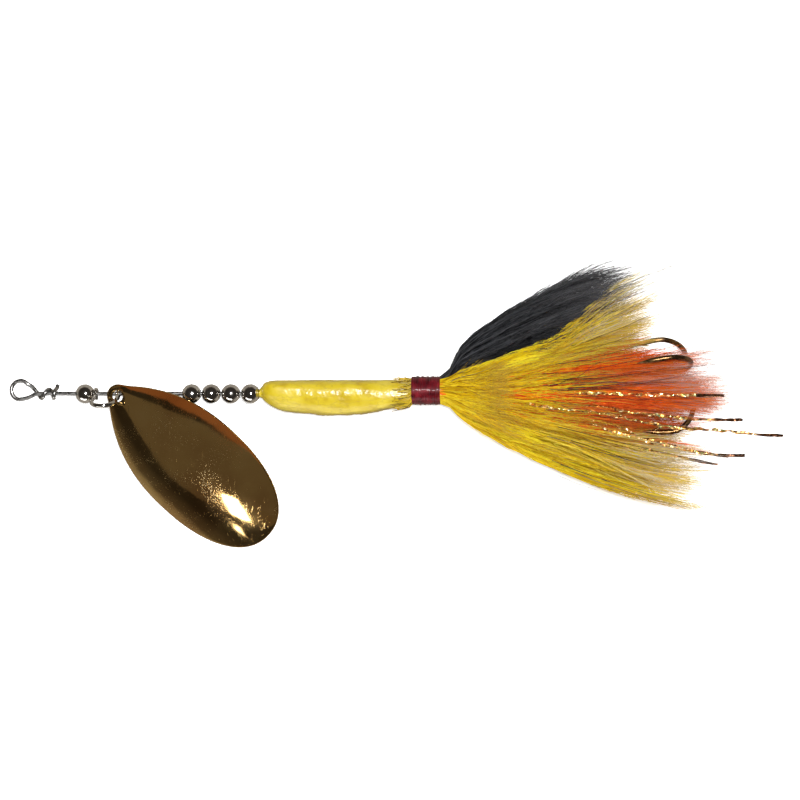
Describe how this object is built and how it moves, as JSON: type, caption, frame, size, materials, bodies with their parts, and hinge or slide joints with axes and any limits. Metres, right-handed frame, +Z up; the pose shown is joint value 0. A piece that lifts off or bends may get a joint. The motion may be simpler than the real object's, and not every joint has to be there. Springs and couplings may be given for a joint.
{
  "type": "inline spinner",
  "caption": "Inline spinner lure: wire shaft with a line eye, a clevis-hung swinging blade, bearing beads, a lead keel body and a hair-dressed treble hook.",
  "frame": {"origin": "bottom centre of the object's box as it lies flat: on the surface, midway between the line eye and the tail's tips", "axes": "+X from the line eye to the tail along the lure, +Z up from the surface it lies on, +Y away from the side on which the blade lies"},
  "size_m": [0.2543, 0.0943, 0.036],
  "materials": {
    "stainless_wire": "satin",
    "nickel_beads": "gloss",
    "nickel_clevis": "gloss",
    "nickel_ring": "satin",
    "gold_blade": "polished",
    "yellow_paint": "gloss",
    "red_thread": "satin",
    "yellow_hair": "satin",
    "orange_hair": "satin",
    "black_hair": "satin",
    "gold_tinsel": "gloss",
    "bronze_hook": "satin"
  },
  "bodies": {
    "lure": {"wire_shaft": "stainless_wire", "lead_body": "yellow_paint", "thread_wrap": "red_thread", "hair_butts": "yellow_hair", "black_tuft": "black_hair", "yellow_tuft_upper": "yellow_hair", "yellow_tuft_over": "yellow_hair", "yellow_tuft_lower": "yellow_hair", "orange_tuft_side": "orange_hair", "orange_tuft_top": "orange_hair", "orange_tuft_bottom": "orange_hair", "flash_strand_1": "gold_tinsel", "flash_strand_2": "gold_tinsel", "flash_strand_3": "gold_tinsel", "flash_strand_4": "gold_tinsel", "flash_strand_5": "gold_tinsel", "flash_strand_6": "gold_tinsel"},
    "front_bead": {"front_bead": "nickel_beads"},
    "clevis": {"clevis": "nickel_clevis"},
    "blade": {"spinner_blade": "gold_blade"},
    "bead_1": {"bead_1": "nickel_beads"},
    "bead_2": {"bead_2": "nickel_beads"},
    "bead_3": {"bead_3": "nickel_beads"},
    "bead_4": {"bead_4": "nickel_beads"},
    "split_ring": {"split_ring": "nickel_ring"},
    "treble": {"treble_double_hook": "bronze_hook", "treble_third_hook": "bronze_hook"}
  },
  "joints": [
    {"name": "front_bead_slide", "type": "slide", "parent": "lure", "child": "front_bead", "axis": [-0.9979, 0, -0.0645], "range_m": [0, 0.005]},
    {"name": "clevis_spin", "type": "hinge", "parent": "front_bead", "child": "clevis", "pos_m": [-0.0946, 0.0037, 0.00366], "axis": [0.9979, 0, 0.0645], "continuous": true},
    {"name": "blade_flap", "type": "hinge", "parent": "clevis", "child": "blade", "pos_m": [-0.0971, 0.00191, 0.00817], "axis": [0.0231, -0.9336, -0.3576], "range_deg": [0, 75]},
    {"name": "bead_1_spin", "type": "hinge", "parent": "lure", "child": "bead_1", "pos_m": [-0.06656, 0.0037, 0.00547], "axis": [0.9979, 0, 0.0645], "continuous": true},
    {"name": "bead_2_spin", "type": "hinge", "parent": "lure", "child": "bead_2", "pos_m": [-0.06008, 0.0037, 0.00589], "axis": [0.9979, 0, 0.0645], "continuous": true},
    {"name": "bead_3_spin", "type": "hinge", "parent": "lure", "child": "bead_3", "pos_m": [-0.05359, 0.0037, 0.00631], "axis": [0.9979, 0, 0.0645], "continuous": true},
    {"name": "bead_4_spin", "type": "hinge", "parent": "lure", "child": "bead_4", "pos_m": [-0.0471, 0.0037, 0.00673], "axis": [0.9979, 0, 0.0645], "continuous": true},
    {"name": "split_ring_swing", "type": "hinge", "parent": "lure", "child": "split_ring", "pos_m": [0.04231, 0.0037, 0.01251], "axis": [0, 1, 0], "range_deg": [-30, 30], "deforming": ["black_tuft", "yellow_tuft_upper", "yellow_tuft_over", "yellow_tuft_lower", "orange_tuft_side", "orange_tuft_top", "orange_tuft_bottom", "flash_strand_1", "flash_strand_2", "flash_strand_3", "flash_strand_4", "flash_strand_5", "flash_strand_6"]},
    {"name": "treble_swing", "type": "hinge", "parent": "split_ring", "child": "treble", "pos_m": [0.04825, 0.0037, 0.0129], "axis": [-0.0645, 0, 0.9979], "range_deg": [-30, 18], "deforming": ["black_tuft", "yellow_tuft_upper", "yellow_tuft_over", "yellow_tuft_lower", "orange_tuft_side", "orange_tuft_top", "orange_tuft_bottom", "flash_strand_1", "flash_strand_2", "flash_strand_3", "flash_strand_4", "flash_strand_5", "flash_strand_6"]}
  ]
}
